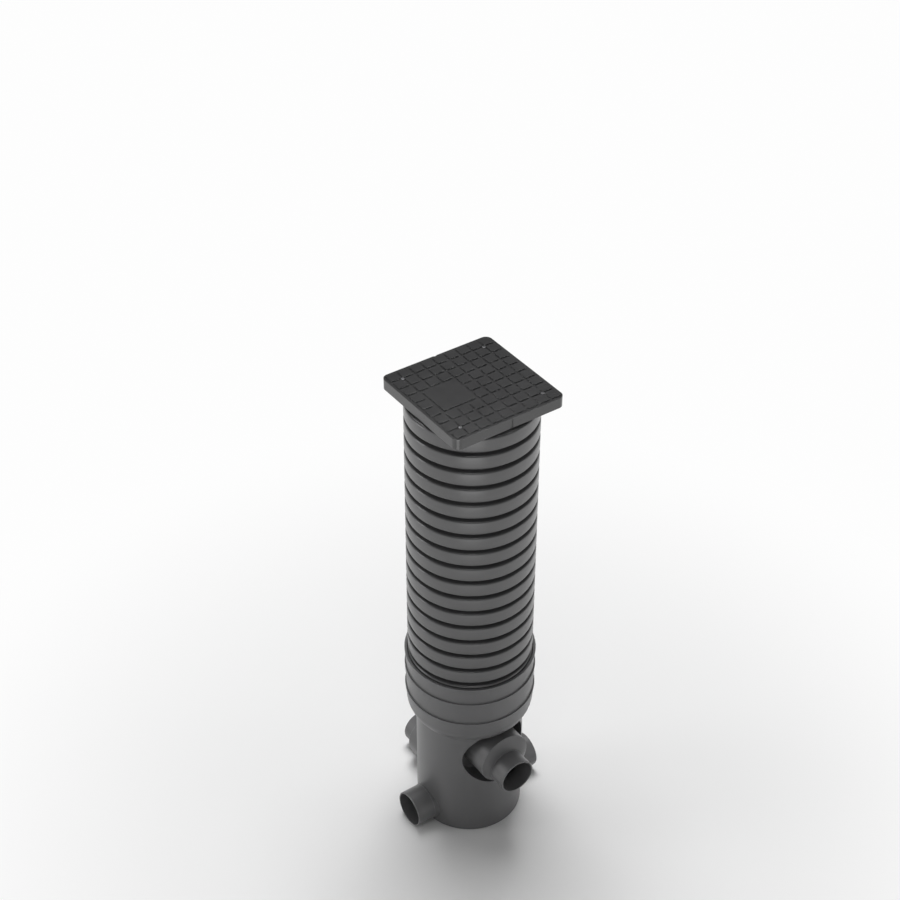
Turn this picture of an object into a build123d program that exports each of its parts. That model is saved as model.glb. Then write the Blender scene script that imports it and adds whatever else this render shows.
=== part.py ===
from build123d import *
import os

# A buried sampling chamber in three pieces that stack: a moulded base with four pipe stubs, a
# corrugated riser pipe that stands in the base's socket, and a square cover that plugs into the
# top of the riser.
#
# Millimetres, +Z up. The origin is the middle of the base's underside.
# The low outlet points along -X. The inlets are a low plain stub along +X, a low stepped stub
# along +Y and a high stepped stub in a round pocket along -Y.

# Riser pipe: a corrugated shell welded to a smooth liner in every valley
pipe_bore = 323.0
liner_wall = 2.4
shell_wall = 2.2
corrugation_depth = 13.9
rib_pitch = 54.1
crest_length = 41.4
flank_run = 2.4
rib_count = 20
sawn_rib_length = 33.9      # the lowest rib is sawn through, which leaves its chamber open below

# Base: the round body and its floor
body_diameter = 315.0
body_wall = 5.0
floor_thickness = 4.0
foot_chamfer = 3.0
floor_round = 12.0
base_height = 620.0

# Base: the socket for the riser
pipe_clearance = 1.5
socket_depth = 190.0
seat_bearing = 5.0
lower_ledge_drop = 11.0
ledge_round = 2.5
upper_band_height = 58.0
middle_band_height = 78.0
band_top_wall = 8.0
band_foot_wall = 3.5
band_edge_round = 1.2
shoulder_lead = 12.0
shoulder_height = 51.0
shoulder_foot_round = 20.0

# Base: the stubs, plain small spigots or large collars that narrow to one, almost level below
outlet_turn = -90.0
side_inlet_turn = 90.0
back_inlet_turn = 180.0
high_inlet_turn = 0.0
collar_diameter = 160.0
spigot_diameter = 110.0
spigot_wall = 4.0
plain_stub_reach = 220.0
low_collar_reach = 210.0
high_collar_reach = 178.0
step_length = 10.0
step_lip = 3.0
underside_step = 0.8        # the lip's underside lies this much over the collar's, and the spigot's over the lip's
small_end_length = 54.0
mouth_chamfer = 1.5
low_way_step = 1.0          # the low ways lie this much over the floor
root_ring = 0.6             # a low stub's root stands this much proud of it
root_ring_reach = 163.0

# Base: the round pocket that leaves room for a pipe socket over the high collar
pocket_floor_reach = 79.0
pocket_clearance = 27.0
pocket_wall = 5.0
pocket_roof = 10.0

# Riser seal, in the lowest whole valley of the pipe
seal_flank_gap = 0.3
seal_floor_gap = 0.1
soft_gap = 0.3
seal_lip_height = 3.0

# Cover: a square tiled plate on a round collar
cover_side = 342.0
cover_height = 33.5
cover_corner_radius = 19.0
deck_thickness = 6.0
tile_field = 332.0
tile_rows = 9
tile_gap = 7.8
tile_height = 2.5
panel_tiles = 3
panel_inset = 3.0           # on each side, less than the tiles it takes the place of
panel_shift = 2             # whole tiles from the middle of the cover towards the outlet side
skirt_wall = 5.0
under_rib_count = 4
under_rib_wall = 4.0
under_rib_height = 16.0
notch_width = 9.0
notch_depth = 2.0
boss_diameter = 20.0

# Cover: the collar that locates it in the riser's rim
flange_thickness = 6.0
flange_gap = 0.5
plug_clearance = 2.5
plug_wall = 5.0
plug_depth = 5.0
plug_lead = 1.5             # chamfer round the foot of the plug

# Cover screws
screw_diameter = 6.0
screw_clearance = 0.3
thread_gap = 0.05
screw_head_diameter = 9.6
screw_head_height = 2.3
key_width = 4.0
key_depth = 1.4

# Sizes that follow from the ones above
bore_radius = pipe_bore / 2
valley_radius = bore_radius + liner_wall + shell_wall
crest_radius = valley_radius + corrugation_depth
rib_gap = rib_pitch - crest_length
pipe_length = sawn_rib_length + (rib_count - 1) * rib_pitch + rib_gap / 2

body_radius = body_diameter / 2
chamber_radius = body_radius - body_wall
socket_radius = crest_radius + pipe_clearance
seat_height = base_height - socket_depth
seat_radius = crest_radius - seat_bearing
ledge_height = seat_height - lower_ledge_drop
band_top_radius = socket_radius + band_top_wall
band_foot_radius = socket_radius + band_foot_wall
upper_band_foot = base_height - upper_band_height
middle_band_foot = upper_band_foot - middle_band_height
shoulder_top = seat_height + shoulder_lead
shoulder_foot = shoulder_top - shoulder_height

collar_radius = collar_diameter / 2
spigot_radius = spigot_diameter / 2
collar_bore = collar_radius - spigot_wall
spigot_bore = spigot_radius - spigot_wall
pocket_radius = collar_radius + pocket_clearance
lip_radius = spigot_radius + step_lip
lip_drop = collar_radius - lip_radius - underside_step
spigot_drop = collar_radius - spigot_radius - 2 * underside_step
low_height = floor_thickness + low_way_step + spigot_bore
low_collar_height = low_height + collar_radius - spigot_radius
high_collar_height = ledge_height - pocket_roof - pocket_radius

rim_height = seat_height + pipe_length
tile_pitch = tile_field / tile_rows
tile_side = tile_pitch - tile_gap
deck_top = rim_height + cover_height - tile_height
deck_under = deck_top - deck_thickness
screw_offset = tile_field / 2 - tile_pitch
screw_places = [(x, y) for x in (-screw_offset, screw_offset) for y in (-screw_offset, screw_offset)]
plug_radius = bore_radius - plug_clearance
flange_side = cover_side - 2 * (skirt_wall + flange_gap)


def turned(outline):
    """Turn a closed outline of radius and height about the vertical axis."""
    return revolve(Plane.XZ * outline, Axis.Z)


def rounded(outline, corners, radius):
    """Round the named corners of an outline, each given as its radius and height."""
    picked = [
        v for v in outline.vertices()
        if any(abs(v.X - r) < 1e-6 and abs(v.Y - h) < 1e-6 for r, h in corners)
    ]
    return fillet(picked, radius)


def rod(radius, start, end, height=0.0):
    """A round bar that points along -Y, between two distances from the vertical axis."""
    middle = Pos(0, -(start + end) / 2, height) * Rot(90, 0, 0)
    return middle * Cylinder(radius, end - start)


def ring_at(radius, reach, height):
    """A disc that faces along -Y."""
    return Plane(origin=(0, -reach, height), x_dir=(1, 0, 0), z_dir=(0, -1, 0)) * Circle(radius)


def around(shape, turn):
    """Turn a shape from the -Y side to its own side."""
    return Rot(0, 0, turn) * shape


def square_block(side, radius, low, high):
    """A square block with rounded upright edges, between two heights."""
    return Pos(0, 0, low) * extrude(RectangleRounded(side, side, radius), high - low)


def post(radius, low, high):
    """An upright round post at the origin, between two heights."""
    return Pos(0, 0, (low + high) / 2) * Cylinder(radius, high - low)


def base_shell():
    """The base's wall as one turned shape: floor, body, shoulder, banded socket and seats."""
    wall = Polyline(
        (body_radius, shoulder_foot), (body_radius, foot_chamfer), (body_radius - foot_chamfer, 0),
        (0, 0), (0, floor_thickness), (chamber_radius, floor_thickness),
        (chamber_radius, ledge_height), (seat_radius, ledge_height),
        (seat_radius, seat_height), (socket_radius, seat_height),
        (socket_radius, base_height), (band_top_radius, base_height),
        (band_foot_radius, upper_band_foot), (band_top_radius, upper_band_foot),
        (band_foot_radius, middle_band_foot), (band_top_radius, middle_band_foot),
        (band_foot_radius, shoulder_top),
    )
    shoulder = TangentArc(
        (band_foot_radius, shoulder_top), (body_radius, shoulder_foot), tangent=(0, -1)
    )
    outline = make_face([*wall.edges(), shoulder])
    outline = rounded(outline, [(body_radius, shoulder_foot)], shoulder_foot_round)
    outline = rounded(outline, [(chamber_radius, floor_thickness)], floor_round)
    outline = rounded(outline, [(chamber_radius, ledge_height), (seat_radius, seat_height)], ledge_round)
    outline = rounded(
        outline,
        [(band_top_radius, h) for h in (base_height, upper_band_foot, middle_band_foot)]
        + [(socket_radius, base_height)],
        band_edge_round,
    )
    return turned(outline)


def chamber_core():
    """A plain bar that reaches to the middle of the body's wall."""
    return post((chamber_radius + body_radius) / 2, 0, base_height)


def pocket_block():
    """The pocket's wall, as a solid plug that fills the chamber behind it."""
    start = pocket_floor_reach - pocket_wall
    plug = rod(pocket_radius + pocket_wall, start, body_radius, high_collar_height)
    return plug & chamber_core()


def pocket_void():
    """The round recess around the high collar, open to the outside."""
    return rod(pocket_radius, pocket_floor_reach, high_collar_reach + body_radius, high_collar_height)


def plain_stub(start, reach, height):
    """A small spigot with a chamfered mouth, solid."""
    spigot = rod(spigot_radius, start, reach, height)
    return chamfer(spigot.edges().sort_by(Axis.Y)[0], mouth_chamfer)


def stepped_stub(start, collar_reach, collar_height):
    """A collar, the step at its end and the small spigot beyond it, solid."""
    step_reach = collar_reach + step_length
    step = loft([
        ring_at(collar_radius, collar_reach, collar_height),
        ring_at(lip_radius, step_reach, collar_height - lip_drop),
    ])
    collar = rod(collar_radius, start, collar_reach, collar_height)
    spigot = plain_stub(collar_reach, step_reach + small_end_length, collar_height - spigot_drop)
    return collar + step + spigot


def low_root(stub, radius, height):
    """A low stub with the ring at its root, less what would stand in the chamber."""
    return stub + rod(radius + root_ring, 0, root_ring_reach, height) - chamber_core()


def stepped_way(start, collar_reach, collar_height):
    """The way through a stepped stub, from its mouth to the chamber."""
    step_start = collar_reach - spigot_wall
    step_end = step_start + step_length
    spigot_height = collar_height - spigot_drop
    step = loft([
        ring_at(collar_bore, step_start, collar_height),
        ring_at(spigot_bore, step_end, spigot_height),
    ])
    collar = rod(collar_bore, start, step_start, collar_height)
    mouth = collar_reach + step_length + small_end_length
    return collar + step + rod(spigot_bore, step_end, mouth, spigot_height)


def chamber_base():
    """The whole base, which is one moulding."""
    base = base_shell() + around(pocket_block(), high_inlet_turn)
    base -= around(pocket_void(), high_inlet_turn)
    high_stub = stepped_stub(pocket_floor_reach - pocket_wall / 2, high_collar_reach, high_collar_height)
    base += around(high_stub, high_inlet_turn)
    low_stub = low_root(plain_stub(0, plain_stub_reach, low_height), spigot_radius, low_height)
    for turn in (outlet_turn, side_inlet_turn):
        base += around(low_stub, turn)
    back_stub = stepped_stub(0, low_collar_reach, low_collar_height)
    base += around(low_root(back_stub, collar_radius, low_collar_height), back_inlet_turn)

    high_way = stepped_way(pocket_floor_reach - 2 * pocket_wall, high_collar_reach, high_collar_height)
    base -= around(high_way, high_inlet_turn)
    low_way = rod(spigot_bore, body_radius / 2, plain_stub_reach, low_height)
    for turn in (outlet_turn, side_inlet_turn):
        base -= around(low_way, turn)
    back_way = stepped_way(body_radius / 2, low_collar_reach, low_collar_height)
    return base - around(back_way, back_inlet_turn)


def riser_pipe():
    """The corrugated riser, from its sawn lowest rib to the valley that its rim is cut in."""
    points = [(bore_radius, 0), (bore_radius + liner_wall, 0)]
    chamber_top = sawn_rib_length - shell_wall
    points += [(bore_radius + liner_wall, chamber_top), (crest_radius - shell_wall, chamber_top)]
    points += [(crest_radius - shell_wall, 0), (crest_radius, 0)]
    crest_end = sawn_rib_length
    for rib in range(rib_count - 1):
        points += [
            (crest_radius, crest_end),
            (valley_radius, crest_end + flank_run),
            (valley_radius, crest_end + rib_gap - flank_run),
            (crest_radius, crest_end + rib_gap),
        ]
        crest_end += rib_pitch
    points += [
        (crest_radius, crest_end),
        (valley_radius, crest_end + flank_run),
        (valley_radius, pipe_length),
        (bore_radius, pipe_length),
    ]
    return Pos(0, 0, seat_height) * turned(make_face(Polyline(*points, close=True)))


def riser_seal():
    """The rubber ring round the riser, with a lip that reaches to the socket's wall."""
    foot = valley_radius + seal_floor_gap
    low = seat_height + sawn_rib_length + flank_run + seal_flank_gap
    high = seat_height + sawn_rib_length + rib_gap - flank_run - seal_flank_gap
    tip = socket_radius - soft_gap
    neck = crest_radius - flank_run
    outline = Polyline(
        (foot, low), (neck, low), (tip, high - seal_lip_height), (tip, high), (foot, high), close=True
    )
    return turned(make_face(outline))


def cover_tiles():
    """The raised tiles on the deck, with one plain panel in place of some of them."""
    tiles = []
    middle = (tile_rows - 1) / 2
    panel_reach = (panel_tiles - 1) / 2
    for row in range(tile_rows):
        for column in range(tile_rows):
            x = row - middle
            y = column - middle
            if abs(x + panel_shift) > panel_reach or abs(y) > panel_reach:
                tiles.append(Pos(x * tile_pitch, y * tile_pitch) * Rectangle(tile_side, tile_side))
    panel_side = panel_tiles * tile_pitch - tile_gap - 2 * panel_inset
    tiles.append(Pos(-panel_shift * tile_pitch, 0) * Rectangle(panel_side, panel_side))
    overlap = deck_thickness / 2
    return [Pos(0, 0, deck_top - overlap) * extrude(tile, tile_height + overlap) for tile in tiles]


def cover_plate():
    """The tiled cover plate with its skirt, ribs, screw bosses and two lifting notches."""
    plate = square_block(cover_side, cover_corner_radius, rim_height, deck_top)
    inner_side = cover_side - 2 * skirt_wall
    plate -= square_block(inner_side, cover_corner_radius - skirt_wall, rim_height, deck_under)
    rib_spacing = inner_side / (under_rib_count + 1)
    rib_low = deck_under - under_rib_height
    for number in range(under_rib_count):
        place = (number + 1) * rib_spacing - inner_side / 2
        rib = Box(under_rib_wall, inner_side + skirt_wall, under_rib_height + deck_thickness / 2,
                  align=(Align.CENTER, Align.CENTER, Align.MIN))
        plate += Pos(place, 0, rib_low) * rib
        plate += Pos(0, place, rib_low) * Rot(0, 0, 90) * rib
    for x, y in screw_places:
        plate += Pos(x, y) * post(boss_diameter / 2, rim_height + flange_thickness, deck_top)
    plate = plate.fuse(*cover_tiles())
    for x, y in screw_places:
        plate -= Pos(x, y) * post(screw_diameter / 2 + screw_clearance, rim_height, deck_top + tile_height)
    for side in (-1, 1):
        notch = Box(notch_width, 2 * notch_depth, 2 * cover_height)
        plate -= Pos(0, side * cover_side / 2, deck_top) * notch
    return plate


def cover_collar():
    """The square flange under the plate, with the shallow round plug that goes into the riser."""
    collar = square_block(
        flange_side, cover_corner_radius - skirt_wall - flange_gap / 2,
        rim_height, rim_height + flange_thickness,
    )
    plug = post(plug_radius, rim_height - plug_depth, rim_height + flange_thickness / 2)
    collar += chamfer(plug.edges().sort_by(Axis.Z)[0], plug_lead)
    collar -= post(plug_radius - plug_wall, rim_height - plug_depth, rim_height + flange_thickness)
    for x, y in screw_places:
        collar -= Pos(x, y) * post(
            screw_diameter / 2 + thread_gap, rim_height, rim_height + flange_thickness
        )
    return collar


def cover_screw():
    """One screw at the origin, its head on the deck and its end level with the flange's foot."""
    screw = post(screw_diameter / 2, rim_height, deck_top)
    head = post(screw_head_diameter / 2, deck_top, deck_top + screw_head_height)
    head = fillet(head.edges().sort_by(Axis.Z)[-1], screw_head_height / 2)
    key = extrude(RegularPolygon(key_width / 2, 6, major_radius=False), key_depth)
    return screw + head - Pos(0, 0, deck_top + screw_head_height - key_depth) * key


parts = {
    "chamber_base": chamber_base(),
    "riser_pipe": riser_pipe(),
    "riser_seal": riser_seal(),
    "cover_plate": cover_plate(),
    "cover_collar": cover_collar(),
}
for number, (x, y) in enumerate(screw_places, start=1):
    parts[f"cover_screw_{number}"] = Pos(x, y) * cover_screw()

os.makedirs("parts", exist_ok=True)
for name, shape in parts.items():
    export_step(shape, f"parts/{name}.step")
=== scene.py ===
"""A buried sampling chamber: moulded base, corrugated riser pipe and square tiled cover.

Metres, +Z up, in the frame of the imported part. At rest the chamber stands put together.
"""

import math

import bmesh
import bpy
from mathutils import Euler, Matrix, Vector


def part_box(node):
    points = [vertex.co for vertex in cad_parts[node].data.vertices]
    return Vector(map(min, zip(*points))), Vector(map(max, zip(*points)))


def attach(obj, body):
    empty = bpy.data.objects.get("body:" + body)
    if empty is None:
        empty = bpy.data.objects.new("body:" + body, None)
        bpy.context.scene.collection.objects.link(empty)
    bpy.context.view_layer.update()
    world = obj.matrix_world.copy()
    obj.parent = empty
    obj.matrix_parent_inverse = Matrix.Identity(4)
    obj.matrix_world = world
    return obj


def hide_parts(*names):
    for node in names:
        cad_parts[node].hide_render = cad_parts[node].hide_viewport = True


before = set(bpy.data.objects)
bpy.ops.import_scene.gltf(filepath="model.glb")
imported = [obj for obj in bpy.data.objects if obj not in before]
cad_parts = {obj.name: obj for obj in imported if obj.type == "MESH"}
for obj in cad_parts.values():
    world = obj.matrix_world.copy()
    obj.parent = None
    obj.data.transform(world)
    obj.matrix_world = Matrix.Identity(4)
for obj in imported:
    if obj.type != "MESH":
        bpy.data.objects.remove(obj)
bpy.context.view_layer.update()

# Modelling
merge_distance = 1e-6
ring_tolerance = 1e-5       # how far a vertex may lie from the radius or height that is meant

# Riser pipe
riser_low, riser_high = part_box("riser_pipe")
riser_segments = 160
riser_smooth_angle = math.radians(30)
crest_radius = riser_high.x
bore_radius = 0.1615
liner_wall = 0.0024
shell_wall = 0.0022
valley_radius = bore_radius + liner_wall + shell_wall
rib_count = 20
rib_pitch = 0.0541
rib_gap = 0.0127            # between two crests, flanks included
flank_run = 0.0024          # how far a flank runs along the pipe
sawn_rib_length = 0.0339    # of the rib that is sawn at the pipe's foot
crest_round = 0.0052
crest_round_steps = 6
valley_round = 0.0012
valley_round_steps = 2
sawn_edge_round = 0.0005
sawn_edge_steps = 1

# Cover plate
flat_angle = math.radians(0.5)          # triangles that differ less lie in one face
plate_edge_angle = math.radians(25)     # an edge that turns more is rounded
plate_edge_round = 0.0009
plate_edge_steps = 3
plate_smooth_angle = math.radians(60)
face_area_weight = 100                  # normals follow the large faces as much as they can

# Plastic skins
bump_strength = 0.25
bump_distance = 0.0004
gloss_roughness = 0.16
edge_samples = 6
drift_detail = 4
grain_detail = 3
line_detail = 2
line_stretch = (0.012, 0.012, 1)        # lines run round the pipe, so they are fine along Z alone

# Screw steel
steel_mark_scale = 900
steel_mark_detail = 3
steel_dark = (0.08, 0.08, 0.085, 1)
steel_bright = (0.2, 0.2, 0.205, 1)
steel_roughness = (0.3, 0.5)

# Floor
floor_half_side = 14.0
floor_grey = 0.78
floor_roughness = 0.9
floor_specular = 0.1
far_white = 0.985           # how bright the far floor and the sky are to the eye
shadow_reach = 0.4          # metres from the axis, within which the lamps alone light the floor
white_reach = 1.9           # and beyond which the floor is white to the eye

# Sky
horizon_light = 0.6
horizon_top = 0.1           # sine of the height up to which the sky is this bright
zenith_light = 0.1
zenith_foot = 0.6           # sine of the height above which it is this dark

# Lamps and camera, as the photograph has them
lamp_aim = (0, 0, 0.9)
camera_turn = math.radians(35.7)        # its line of sight, from the way +Y points, towards +X
camera_distance = 3.7727                # along the floor, to the chamber's axis
camera_height = 4.194
camera_yaw = math.radians(0.878)        # the view is turned this much to the left of the axis
camera_pitch = math.radians(37.274)     # and this much down
camera_lens = 71.67                     # millimetres, on the default sensor
camera_reach = 100

# Layout of a node tree on the screen
node_column = 220
node_row = 180


# Modelling helpers

def start_alone():
    """Leave edit mode with nothing selected."""
    if bpy.context.mode != "OBJECT":
        bpy.ops.object.mode_set(mode="OBJECT")
    bpy.ops.object.select_all(action="DESELECT")


def pick(piece):
    """Make one piece the only one selected."""
    start_alone()
    piece.select_set(True)
    bpy.context.view_layer.objects.active = piece


def named(name):
    """Name the piece that was just added, and put its place into its mesh."""
    piece = bpy.context.object
    piece.name = name
    piece.data.name = name
    bpy.ops.object.transform_apply(location=True, rotation=True, scale=True)
    return piece


def smooth(piece, angle):
    """Shade a piece smooth, apart from edges sharper than the angle."""
    pick(piece)
    bpy.ops.object.shade_smooth_by_angle(angle=angle)


def apply_modifiers(piece):
    """Make a piece's modifiers part of its mesh."""
    pick(piece)
    for modifier in [m.name for m in piece.modifiers]:
        bpy.ops.object.modifier_apply(modifier=modifier)


def dress(piece, material):
    """Give a piece one material all over."""
    piece.data.materials.clear()
    piece.data.materials.append(material)


# Turned pieces

def turned(name, outline, segments):
    """Draw a ring along a closed outline of radii and heights, and back to its start."""
    start_alone()
    radius, height = outline[0]
    bpy.ops.mesh.primitive_circle_add(vertices=segments, radius=radius, location=(0, 0, height))
    piece = named(name)
    bpy.ops.object.mode_set(mode="EDIT")
    bpy.ops.mesh.select_all(action="SELECT")
    for next_radius, next_height in [*outline[1:], outline[0]]:
        bpy.ops.mesh.extrude_region_move(
            TRANSFORM_OT_translate={"value": (0, 0, next_height - height)}
        )
        ratio = next_radius / radius
        bpy.ops.transform.resize(value=(ratio, ratio, 1), center_override=(0, 0, next_height))
        radius, height = next_radius, next_height
    bpy.ops.mesh.select_all(action="SELECT")
    bpy.ops.mesh.remove_doubles(threshold=merge_distance)
    bpy.ops.mesh.normals_make_consistent(inside=False)
    bpy.ops.object.mode_set(mode="OBJECT")
    return piece


def on_a_ring(edge, rings):
    """Tell whether an edge is part of a ring at one of the given radii and heights."""
    a, b = (vertex.co for vertex in edge.verts)
    level = abs(a.z - b.z) <= ring_tolerance
    concentric = abs(a.xy.length - b.xy.length) <= ring_tolerance
    return level and concentric and any(
        abs(a.xy.length - radius) < ring_tolerance and abs(a.z - height) < ring_tolerance
        for radius, height in rings
    )


def round_rings(piece, rings, width, steps):
    """Bevel the ring edges of a turned piece that lie at the given radii and heights."""
    pick(piece)
    bpy.ops.object.mode_set(mode="EDIT")
    bpy.ops.mesh.select_mode(type="EDGE")
    bpy.ops.mesh.select_all(action="DESELECT")
    mesh = bmesh.from_edit_mesh(piece.data)
    for edge in mesh.edges:
        if on_a_ring(edge, rings):
            edge.select_set(True)
    bmesh.update_edit_mesh(piece.data)
    bpy.ops.mesh.bevel(offset=width, offset_type="OFFSET", segments=steps, profile=0.5)
    bpy.ops.object.mode_set(mode="OBJECT")


# Riser pipe

def riser_outline():
    """The riser's closed outline from its bore's foot, up the outside and down the bore.

    With it come the corners of the crests, of the valleys and of the sawn edges.
    """
    foot = riser_low.z
    rim = riser_high.z
    chamber_top = foot + sawn_rib_length - shell_wall
    chamber_radius = crest_radius - shell_wall
    liner_radius = bore_radius + liner_wall
    outline = [
        (bore_radius, foot), (liner_radius, foot), (liner_radius, chamber_top),
        (chamber_radius, chamber_top), (chamber_radius, foot), (crest_radius, foot),
    ]
    crests, valleys = [], []
    crest_end = foot + sawn_rib_length
    for _ in range(rib_count - 1):
        gap = [
            (crest_radius, crest_end), (valley_radius, crest_end + flank_run),
            (valley_radius, crest_end + rib_gap - flank_run), (crest_radius, crest_end + rib_gap),
        ]
        outline += gap
        crests += [gap[0], gap[3]]
        valleys += gap[1:3]
        crest_end += rib_pitch
    last = [(crest_radius, crest_end), (valley_radius, crest_end + flank_run)]
    outline += [*last, (valley_radius, rim), (bore_radius, rim)]
    crests.append(last[0])
    valleys.append(last[1])
    sawn = [
        (crest_radius, foot), (chamber_radius, foot), (valley_radius, rim), (bore_radius, rim),
    ]
    return outline, crests, valleys, sawn


def riser_wall():
    """The corrugated pipe, with its crests, valleys and sawn edges rounded."""
    outline, crests, valleys, sawn = riser_outline()
    piece = turned("riser_wall", outline, riser_segments)
    round_rings(piece, crests, crest_round, crest_round_steps)
    round_rings(piece, valleys, valley_round, valley_round_steps)
    round_rings(piece, sawn, sawn_edge_round, sawn_edge_steps)
    smooth(piece, riser_smooth_angle)
    return piece


def line_bore(piece, material):
    """Give the wall of the riser's bore its own material."""
    piece.data.materials.append(material)
    vertices = piece.data.vertices
    for face in piece.data.polygons:
        if all(vertices[v].co.xy.length < bore_radius + ring_tolerance for v in face.vertices):
            face.material_index = 1


# Cover plate

def copy_of_solid(node, name):
    """Copy a solid, and join its loose triangles into whole faces."""
    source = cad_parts[node]
    piece = source.copy()
    piece.data = source.data.copy()
    for key in [k for k in piece.keys() if k.startswith("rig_")]:
        del piece[key]
    piece.parent = None
    bpy.context.scene.collection.objects.link(piece)
    piece.name = name
    piece.data.name = name
    pick(piece)
    bpy.ops.object.mode_set(mode="EDIT")
    bpy.ops.mesh.select_all(action="SELECT")
    bpy.ops.mesh.remove_doubles(threshold=merge_distance)
    bpy.ops.mesh.dissolve_limited(angle_limit=flat_angle)
    bpy.ops.object.mode_set(mode="OBJECT")
    return piece


def tiled_plate():
    """The cover plate with the edges of its tiles, sides and ribs softened."""
    piece = copy_of_solid("cover_plate", "tiled_plate")
    bevel = piece.modifiers.new("Rounding", "BEVEL")
    bevel.width = plate_edge_round
    bevel.segments = plate_edge_steps
    bevel.limit_method = "ANGLE"
    bevel.angle_limit = plate_edge_angle
    bevel.use_clamp_overlap = True
    apply_modifiers(piece)
    smooth(piece, plate_smooth_angle)
    flats = piece.modifiers.new("Flat faces", "WEIGHTED_NORMAL")
    flats.mode = "FACE_AREA"
    flats.weight = face_area_weight
    flats.keep_sharp = True
    apply_modifiers(piece)
    return piece


# Materials

def node_at(tree, kind, column, row, **settings):
    """Add a node at a column and row of its tree's layout, and set its plain attributes."""
    node = tree.nodes.new(kind)
    node.location = (column * node_column, -row * node_row)
    for name, value in settings.items():
        setattr(node, name, value)
    return node


def moulded_skin_group():
    """Shared effect: drifting shade, fine grain, drawn lines, and edges lightened partly by wear
    and partly by a painted highlight.
    """
    group = bpy.data.node_groups.new("Moulded Skin", "ShaderNodeTree")
    face = group.interface
    colour_in = face.new_socket("Colour", in_out="INPUT", socket_type="NodeSocketColor")
    colour_in.default_value = (0.06, 0.06, 0.062, 1)
    for name, value in (
        ("Shade Drift", 0.15), ("Drift Scale", 9.0), ("Grain Scale", 700.0), ("Grain Depth", 0.3),
        ("Line Shade", 0.0), ("Line Scale", 400.0), ("Line Depth", 0.0),
        ("Edge Round", 0.001), ("Edge Wear And Highlight", 1.0), ("Roughness", 0.38), ("Roughness Drift", 0.08),
    ):
        face.new_socket(name, in_out="INPUT", socket_type="NodeSocketFloat").default_value = value
    face.new_socket("Colour", in_out="OUTPUT", socket_type="NodeSocketColor")
    face.new_socket("Roughness", in_out="OUTPUT", socket_type="NodeSocketFloat")
    face.new_socket("Height", in_out="OUTPUT", socket_type="NodeSocketFloat")
    face.new_socket("Normal", in_out="OUTPUT", socket_type="NodeSocketVector")

    given = node_at(group, "NodeGroupInput", 0, 3)
    result = node_at(group, "NodeGroupOutput", 8, 3)
    place = node_at(group, "ShaderNodeTexCoord", 0, 1)
    link = group.links.new

    def centred_noise(row, detail, vector, scale):
        """A noise that drifts about nought."""
        noise = node_at(group, "ShaderNodeTexNoise", 2, row)
        noise.inputs["Detail"].default_value = detail
        link(vector, noise.inputs["Vector"])
        link(given.outputs[scale], noise.inputs["Scale"])
        centred = node_at(group, "ShaderNodeMath", 3, row, operation="SUBTRACT")
        centred.inputs[1].default_value = 0.5
        link(noise.outputs["Fac"], centred.inputs[0])
        return centred.outputs[0]

    def scaled_sum(column, row, value, factor, base):
        """Value times factor, plus a base that is a socket or a number."""
        total = node_at(group, "ShaderNodeMath", column, row, operation="MULTIPLY_ADD")
        link(value, total.inputs[0])
        link(factor, total.inputs[1])
        if isinstance(base, float):
            total.inputs[2].default_value = base
        else:
            link(base, total.inputs[2])
        return total.outputs[0]

    drift = centred_noise(0, drift_detail, place.outputs["Object"], "Drift Scale")
    grain = centred_noise(1, grain_detail, place.outputs["Object"], "Grain Scale")
    along = node_at(group, "ShaderNodeVectorMath", 1, 2, operation="MULTIPLY")
    along.inputs[1].default_value = line_stretch
    link(place.outputs["Object"], along.inputs[0])
    lines = centred_noise(2, line_detail, along.outputs[0], "Line Scale")

    edge = node_at(group, "ShaderNodeBevel", 1, 4, samples=edge_samples)
    link(given.outputs["Edge Round"], edge.inputs["Radius"])
    plain = node_at(group, "ShaderNodeNewGeometry", 1, 5)
    facing = node_at(group, "ShaderNodeVectorMath", 2, 4, operation="DOT_PRODUCT")
    link(edge.outputs["Normal"], facing.inputs[0])
    link(plain.outputs["Normal"], facing.inputs[1])
    # Edges are lightened in colour: partly rubbed wear, partly a painted highlight where light
    # would catch the rounded edge.
    edge_wear_and_highlight = node_at(group, "ShaderNodeMath", 3, 4, operation="SUBTRACT", use_clamp=True)
    edge_wear_and_highlight.inputs[0].default_value = 1.0
    link(facing.outputs["Value"], edge_wear_and_highlight.inputs[1])

    shade = scaled_sum(4, 0, drift, given.outputs["Shade Drift"], 1.0)
    shade = scaled_sum(5, 0, lines, given.outputs["Line Shade"], shade)
    shade = scaled_sum(6, 0, edge_wear_and_highlight.outputs[0], given.outputs["Edge Wear And Highlight"], shade)
    tint = node_at(group, "ShaderNodeVectorMath", 7, 0, operation="SCALE")
    link(given.outputs["Colour"], tint.inputs[0])
    link(shade, tint.inputs["Scale"])
    link(tint.outputs[0], result.inputs["Colour"])

    dull = scaled_sum(4, 2, drift, given.outputs["Roughness Drift"], given.outputs["Roughness"])
    link(dull, result.inputs["Roughness"])

    height = scaled_sum(4, 4, grain, given.outputs["Grain Depth"], 0.5)
    height = scaled_sum(5, 4, lines, given.outputs["Line Depth"], height)
    link(height, result.inputs["Height"])
    link(edge.outputs["Normal"], result.inputs["Normal"])
    return group


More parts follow.
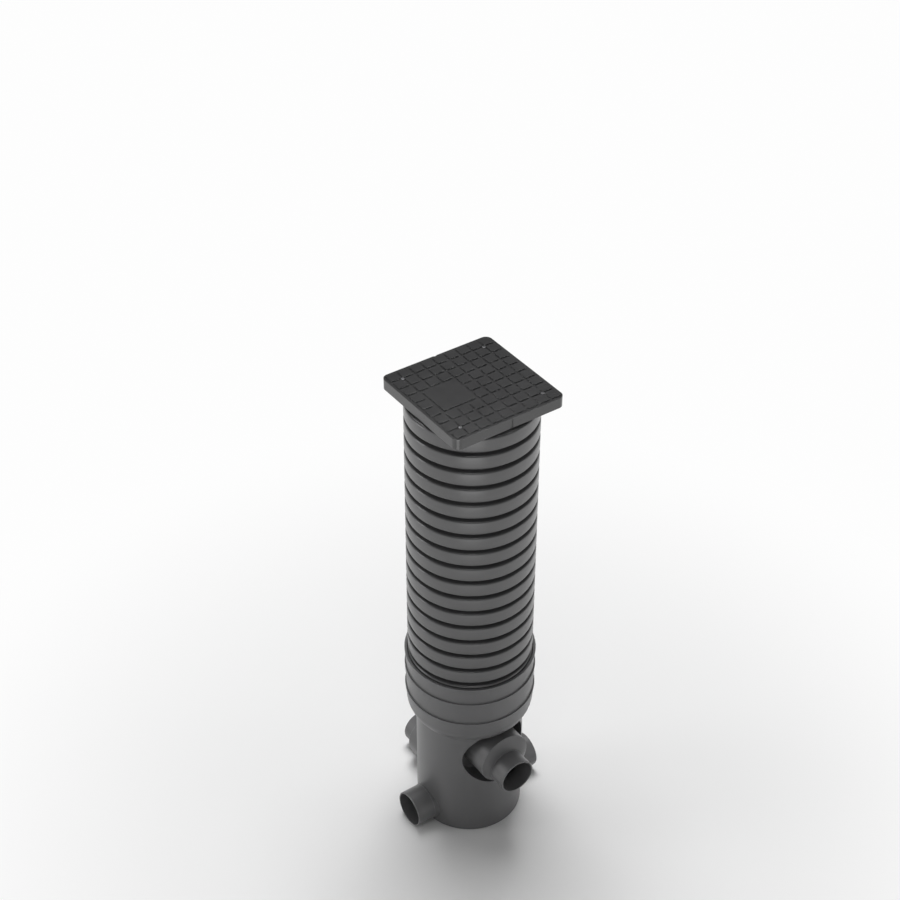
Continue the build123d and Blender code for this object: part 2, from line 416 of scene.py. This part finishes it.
def plastic(name, skin, colour, roughness, specular, gloss, effects):
    """A plastic: the shared skin, a bump from its grain and lines, and a clear gloss over it."""
    material = bpy.data.materials.new(name)
    material.use_nodes = True
    tree = material.node_tree
    tree.nodes.clear()
    surface = node_at(tree, "ShaderNodeBsdfPrincipled", 2, 0)
    surface.inputs["Specular IOR Level"].default_value = specular
    surface.inputs["Coat Weight"].default_value = gloss
    surface.inputs["Coat Roughness"].default_value = gloss_roughness
    output = node_at(tree, "ShaderNodeOutputMaterial", 4, 0)
    effect = node_at(tree, "ShaderNodeGroup", 0, 0, node_tree=skin)
    effect.inputs["Colour"].default_value = (*colour, 1)
    effect.inputs["Roughness"].default_value = roughness
    for socket, value in effects.items():
        effect.inputs[socket].default_value = value
    bump = node_at(tree, "ShaderNodeBump", 1, 1)
    bump.inputs["Strength"].default_value = bump_strength
    bump.inputs["Distance"].default_value = bump_distance
    link = tree.links.new
    link(effect.outputs["Colour"], surface.inputs["Base Color"])
    link(effect.outputs["Roughness"], surface.inputs["Roughness"])
    link(effect.outputs["Height"], bump.inputs["Height"])
    link(effect.outputs["Normal"], bump.inputs["Normal"])
    link(bump.outputs["Normal"], surface.inputs["Normal"])
    link(effect.outputs["Normal"], surface.inputs["Coat Normal"])
    link(surface.outputs["BSDF"], output.inputs["Surface"])
    return material


def turned_steel():
    """Bright steel, mottled with fine tool marks, for the screws."""
    material = bpy.data.materials.new("Bright turned steel")
    material.use_nodes = True
    tree = material.node_tree
    surface = tree.nodes["Principled BSDF"]
    surface.inputs["Metallic"].default_value = 1.0
    place = node_at(tree, "ShaderNodeTexCoord", -4, 0)
    marks = node_at(tree, "ShaderNodeTexNoise", -3, 0)
    marks.inputs["Scale"].default_value = steel_mark_scale
    marks.inputs["Detail"].default_value = steel_mark_detail
    shade = node_at(tree, "ShaderNodeValToRGB", -2, -1)
    shade.color_ramp.elements[0].color = steel_dark
    shade.color_ramp.elements[1].color = steel_bright
    dull = node_at(tree, "ShaderNodeMapRange", -2, 1)
    dull.inputs["To Min"].default_value, dull.inputs["To Max"].default_value = steel_roughness
    link = tree.links.new
    link(place.outputs["Object"], marks.inputs["Vector"])
    link(marks.outputs["Fac"], shade.inputs["Fac"])
    link(marks.outputs["Fac"], dull.inputs["Value"])
    link(shade.outputs["Color"], surface.inputs["Base Color"])
    link(dull.outputs["Result"], surface.inputs["Roughness"])
    return material


skin = moulded_skin_group()
# Its strong edge lightening is mostly a painted highlight along rims, collars and lips.
base_plastic = plastic(
    "Moulded base plastic", skin, colour=(0.12, 0.12, 0.122),
    roughness=0.36, specular=0.5, gloss=0.0,
    effects={
        "Shade Drift": 0.16, "Drift Scale": 7.0, "Grain Scale": 900.0, "Grain Depth": 0.35,
        "Edge Round": 0.0028, "Edge Wear And Highlight": 3.0,
    },
)
pipe_plastic = plastic(
    "Extruded pipe plastic", skin, colour=(0.045, 0.045, 0.046),
    roughness=0.34, specular=1.0, gloss=0.2,
    effects={
        "Shade Drift": 0.12, "Drift Scale": 11.0, "Grain Scale": 500.0, "Grain Depth": 0.15,
        "Line Shade": 0.35, "Line Scale": 420.0, "Line Depth": 0.2,
        "Edge Round": 0.0008, "Edge Wear And Highlight": 0.6,
    },
)
# The liner's pale grey is partly the paler plastic of the liner and partly painted light that
# brightens the bore as if light reached deep inside.
pale_liner_with_painted_light = plastic(
    "Pale pipe liner with painted light", skin, colour=(0.2, 0.2, 0.203),
    roughness=0.4, specular=0.5, gloss=0.0,
    effects={
        "Shade Drift": 0.1, "Drift Scale": 8.0, "Grain Scale": 700.0, "Grain Depth": 0.1,
        "Edge Round": 0.0005, "Edge Wear And Highlight": 0.3,
    },
)
cover_plastic = plastic(
    "Grained cover plastic", skin, colour=(0.014, 0.014, 0.0145),
    roughness=0.22, specular=0.95, gloss=0.0,
    effects={
        "Shade Drift": 0.2, "Drift Scale": 14.0, "Grain Scale": 1100.0, "Grain Depth": 0.5,
        "Edge Round": 0.001, "Edge Wear And Highlight": 1.5,
    },
)
seal_rubber = plastic(
    "Seal rubber", skin, colour=(0.02, 0.02, 0.02),
    roughness=0.6, specular=0.4, gloss=0.0,
    effects={
        "Shade Drift": 0.2, "Drift Scale": 30.0, "Grain Scale": 1500.0, "Grain Depth": 0.4,
        "Edge Round": 0.0005, "Edge Wear And Highlight": 0.5,
    },
)
screw_steel = turned_steel()

# Pieces that stand for solids
riser = riser_wall()
dress(riser, pipe_plastic)
line_bore(riser, pale_liner_with_painted_light)
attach(riser, "riser")
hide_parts("riser_pipe")

plate = tiled_plate()
dress(plate, cover_plastic)
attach(plate, "cover")
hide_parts("cover_plate")

# Solids that are shown as they are
for node, material in (
    ("chamber_base", base_plastic), ("riser_seal", seal_rubber), ("cover_collar", cover_plastic),
    *((f"cover_screw_{n}", screw_steel) for n in range(1, 5)),
):
    dress(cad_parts[node], material)


# Floor, sky, lamps and camera

def floor():
    """A wide pale floor that keeps the shadow near the object, and is white to the eye beyond."""
    start_alone()
    bpy.ops.mesh.primitive_plane_add(size=2 * floor_half_side, location=(0, 0, 0))
    piece = named("studio_floor")
    material = bpy.data.materials.new("Pale floor")
    material.use_nodes = True
    tree = material.node_tree
    surface = tree.nodes["Principled BSDF"]
    surface.inputs["Base Color"].default_value = (floor_grey, floor_grey, floor_grey, 1)
    surface.inputs["Roughness"].default_value = floor_roughness
    surface.inputs["Specular IOR Level"].default_value = floor_specular
    glow = node_at(tree, "ShaderNodeEmission", 0, 2)
    glow.inputs["Color"].default_value = (1, 1, 1, 1)
    glow.inputs["Strength"].default_value = far_white
    place = node_at(tree, "ShaderNodeTexCoord", -4, -2)
    distance = node_at(tree, "ShaderNodeVectorMath", -3, -2, operation="LENGTH")
    fade = node_at(tree, "ShaderNodeMapRange", -2, -2, interpolation_type="SMOOTHSTEP")
    fade.inputs["From Min"].default_value = shadow_reach
    fade.inputs["From Max"].default_value = white_reach
    rays = node_at(tree, "ShaderNodeLightPath", -4, 0)
    seen = node_at(tree, "ShaderNodeMath", -3, 0, operation="MAXIMUM")
    amount = node_at(tree, "ShaderNodeMath", -1, -2, operation="MULTIPLY")
    blend = node_at(tree, "ShaderNodeMixShader", 1, -1)
    output = tree.nodes["Material Output"]
    link = tree.links.new
    link(place.outputs["Object"], distance.inputs[0])
    link(distance.outputs["Value"], fade.inputs["Value"])
    link(rays.outputs["Is Camera Ray"], seen.inputs[0])
    link(rays.outputs["Is Glossy Ray"], seen.inputs[1])
    link(fade.outputs["Result"], amount.inputs[0])
    link(seen.outputs[0], amount.inputs[1])
    link(amount.outputs[0], blend.inputs["Fac"])
    link(surface.outputs["BSDF"], blend.inputs[1])
    link(glow.outputs["Emission"], blend.inputs[2])
    link(blend.outputs["Shader"], output.inputs["Surface"])
    dress(piece, material)


def sky():
    """A sky that is bright at the horizon and dark overhead, and plain white to the eye."""
    world = bpy.data.worlds.new("Studio")
    bpy.context.scene.world = world
    world.use_nodes = True
    tree = world.node_tree
    surround = tree.nodes["Background"]
    surround.inputs["Color"].default_value = (1, 1, 1, 1)
    direction = node_at(tree, "ShaderNodeTexCoord", -5, 0)
    parts = node_at(tree, "ShaderNodeSeparateXYZ", -4, 0)
    strength = node_at(tree, "ShaderNodeMapRange", -3, 0, interpolation_type="SMOOTHSTEP")
    strength.inputs["From Min"].default_value = horizon_top
    strength.inputs["From Max"].default_value = zenith_foot
    strength.inputs["To Min"].default_value = horizon_light
    strength.inputs["To Max"].default_value = zenith_light
    rays = node_at(tree, "ShaderNodeLightPath", -4, -2)
    seen = node_at(tree, "ShaderNodeMath", -3, -2, operation="MULTIPLY")
    seen.inputs[1].default_value = far_white
    brighter = node_at(tree, "ShaderNodeMath", -2, -1, operation="MAXIMUM")
    link = tree.links.new
    link(direction.outputs["Generated"], parts.inputs[0])
    link(parts.outputs["Z"], strength.inputs["Value"])
    link(rays.outputs["Is Camera Ray"], seen.inputs[0])
    link(seen.outputs[0], brighter.inputs[0])
    link(strength.outputs["Result"], brighter.inputs[1])
    link(brighter.outputs[0], surround.inputs["Strength"])


def around_axis(turn, distance, height):
    """A place by its turn from the way +Y points, towards +X, and its distance from the axis."""
    return (distance * math.sin(turn), distance * math.cos(turn), height)


def soft_light(name, turn, distance, height, width, length, watts):
    """A softbox that faces the object, turned by degrees from the camera's line of sight."""
    place = around_axis(camera_turn + math.radians(turn), distance, height)
    lamp = bpy.data.lights.new(name, "AREA")
    lamp.shape = "RECTANGLE"
    lamp.size = width
    lamp.size_y = length
    lamp.energy = watts
    holder = bpy.data.objects.new(name, lamp)
    holder.location = place
    holder.rotation_euler = (Vector(lamp_aim) - Vector(place)).to_track_quat("-Z", "Y").to_euler()
    bpy.context.scene.collection.objects.link(holder)
    return holder


def lamps():
    """Softboxes around the object, and a panel that lies before it and shines upwards."""
    soft_light(
        "Back softbox", turn=-6, distance=1.3, height=5.2, width=2.4, length=2.4, watts=240,
    )
    soft_light(
        "Left softbox", turn=-95, distance=4.2, height=2.2, width=1.2, length=3.0, watts=32,
    )
    soft_light(
        "Front softbox", turn=180, distance=3.4, height=6.0, width=2.2, length=0.25, watts=30,
    )
    soft_light(
        "Right softbox", turn=100, distance=4.2, height=1.6, width=1.2, length=2.4, watts=10,
    )
    panel = soft_light(
        "Low panel", turn=180, distance=3.3, height=0.02, width=1.6, length=2.6, watts=16,
    )
    panel.rotation_euler = (math.pi, 0, -camera_turn)
    panel.visible_camera = False


def camera():
    """The photograph's camera."""
    lens = bpy.data.cameras.new("Photo camera")
    lens.lens = camera_lens
    lens.clip_end = camera_reach
    holder = bpy.data.objects.new("Photo camera", lens)
    holder.location = around_axis(camera_turn + math.pi, camera_distance, camera_height)
    holder.rotation_euler = Euler((math.pi / 2 - camera_pitch, 0, camera_yaw - camera_turn))
    bpy.context.scene.collection.objects.link(holder)
    bpy.context.scene.camera = holder


floor()
lamps()
sky()
camera()
bpy.context.scene.view_settings.view_transform = "Standard"
